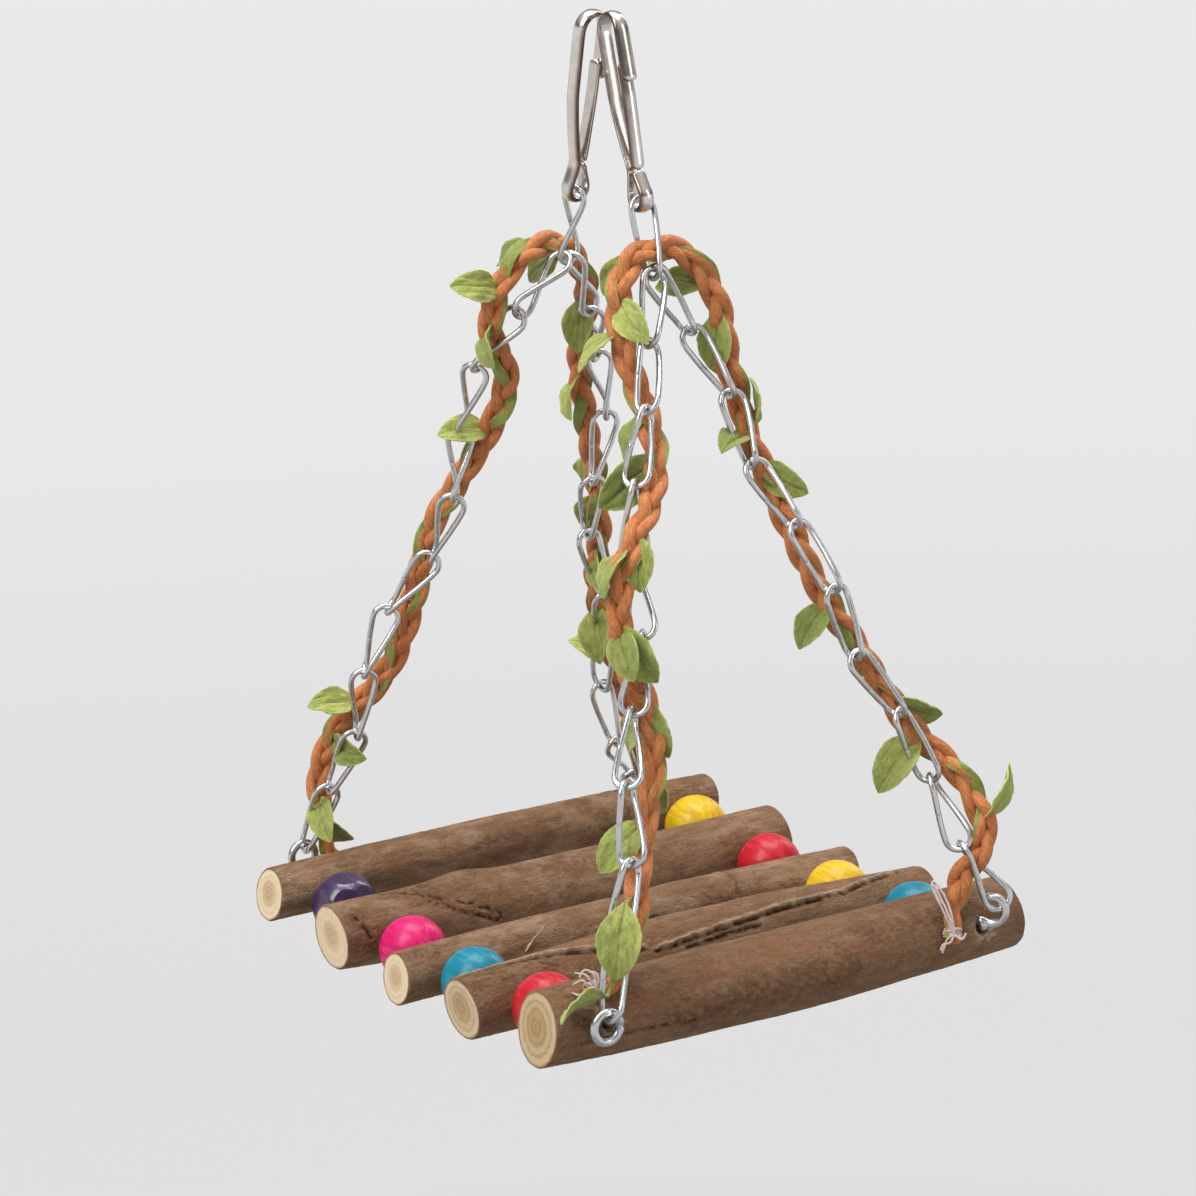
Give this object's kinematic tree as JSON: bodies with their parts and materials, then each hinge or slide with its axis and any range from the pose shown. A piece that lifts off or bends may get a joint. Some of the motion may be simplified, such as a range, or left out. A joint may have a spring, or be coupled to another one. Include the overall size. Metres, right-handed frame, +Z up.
{
  "type": "bird swing",
  "caption": "Hanging bird swing: natural branch perches and painted beads on two wires, carried by two V shaped twisted link chains with plaited leafy vines and spring clips.",
  "frame": {"origin": "the hang point, level with the inside top of both spring clips, midway between them", "axes": "+Z up, X along the perches, -Y towards the near side of the picture"},
  "size_m": [0.1313, 0.1531, 0.2247],
  "materials": {
    "clip_steel": "bright nickel plate, smooth, with fine draw lines",
    "chain_steel": "bright nickel plate on twisted wire",
    "axle_steel": "galvanised spring wire, satin",
    "bark": "natural bark, dry and matt, pale sawn ends",
    "red_paint": "gloss paint on a turned bead",
    "blue_paint": "gloss paint on a turned bead",
    "pink_paint": "gloss paint on a turned bead",
    "purple_paint": "gloss paint on a faceted bead",
    "yellow_paint": "gloss paint on a turned bead",
    "waxed_cord": "waxed cotton cord, plaited in three",
    "leaf_fabric": "crinkled leaf ribbon, matt",
    "thread": "sewing thread, matt"
  },
  "bodies": {
    "clips": {"hook_frame_near": "clip_steel", "hook_frame_far": "clip_steel"},
    "gate_near": {"hook_gate_near": "clip_steel"},
    "gate_far": {"hook_gate_far": "clip_steel"},
    "swing": {"top_link_near": "chain_steel", "top_link_far": "chain_steel", "chain_near_left": "chain_steel", "chain_near_right": "chain_steel", "chain_far_left": "chain_steel", "chain_far_right": "chain_steel", "axle_wire_left": "axle_steel", "axle_wire_right": "axle_steel", "perch_1": "bark", "perch_2": "bark", "perch_3": "bark", "perch_4": "bark", "perch_5": "bark", "vine_near": "waxed_cord", "vine_far": "waxed_cord", "leaves_near": "leaf_fabric", "leaves_far": "leaf_fabric", "vine_ties": "thread"},
    "bead_left_1": {"bead_left_1": "red_paint"},
    "bead_left_2": {"bead_left_2": "blue_paint"},
    "bead_left_3": {"bead_left_3": "pink_paint"},
    "bead_left_4": {"bead_left_4": "purple_paint"},
    "bead_right_1": {"bead_right_1": "blue_paint"},
    "bead_right_2": {"bead_right_2": "yellow_paint"},
    "bead_right_3": {"bead_right_3": "red_paint"},
    "bead_right_4": {"bead_right_4": "yellow_paint"}
  },
  "joints": [
    {"name": "gate_near_hinge", "type": "hinge", "parent": "clips", "child": "gate_near", "pos_m": [-0.00004, -0.01303, -0.03368], "axis": [-0.9994, 0.0339, -0.0084], "range_deg": [0, 8], "stiffness_Nm_per_rad": 0.02},
    {"name": "gate_far_hinge", "type": "hinge", "parent": "clips", "child": "gate_far", "pos_m": [0.00101, 0.01222, -0.03388], "axis": [0.1908, -0.9526, -0.2368], "range_deg": [0, 8], "stiffness_Nm_per_rad": 0.02},
    {"name": "swing_hinge", "type": "hinge", "parent": "clips", "child": "swing", "pos_m": [0, 0, -0.04278], "axis": [0, 1, 0], "range_deg": [-25, 25]},
    {"name": "bead_left_1_spin", "type": "hinge", "parent": "swing", "child": "bead_left_1", "pos_m": [-0.0515, -0.04336, -0.21246], "axis": [0, 0.9937, -0.112], "continuous": true},
    {"name": "bead_left_2_spin", "type": "hinge", "parent": "swing", "child": "bead_left_2", "pos_m": [-0.0515, -0.01255, -0.21469], "axis": [0, 0.9995, -0.0324], "continuous": true},
    {"name": "bead_left_3_spin", "type": "hinge", "parent": "swing", "child": "bead_left_3", "pos_m": [-0.0515, 0.01575, -0.21457], "axis": [0, 0.9992, 0.0407], "continuous": true},
    {"name": "bead_left_4_spin", "type": "hinge", "parent": "swing", "child": "bead_left_4", "pos_m": [-0.0515, 0.04793, -0.21191], "axis": [0, 0.9923, 0.1238], "continuous": true},
    {"name": "bead_right_1_spin", "type": "hinge", "parent": "swing", "child": "bead_right_1", "pos_m": [0.0515, -0.04336, -0.21246], "axis": [0, 0.9937, -0.112], "continuous": true},
    {"name": "bead_right_2_spin", "type": "hinge", "parent": "swing", "child": "bead_right_2", "pos_m": [0.0515, -0.01255, -0.21469], "axis": [0, 0.9995, -0.0324], "continuous": true},
    {"name": "bead_right_3_spin", "type": "hinge", "parent": "swing", "child": "bead_right_3", "pos_m": [0.0515, 0.01575, -0.21457], "axis": [0, 0.9992, 0.0407], "continuous": true},
    {"name": "bead_right_4_spin", "type": "hinge", "parent": "swing", "child": "bead_right_4", "pos_m": [0.0515, 0.04793, -0.21191], "axis": [0, 0.9923, 0.1238], "continuous": true}
  ]
}
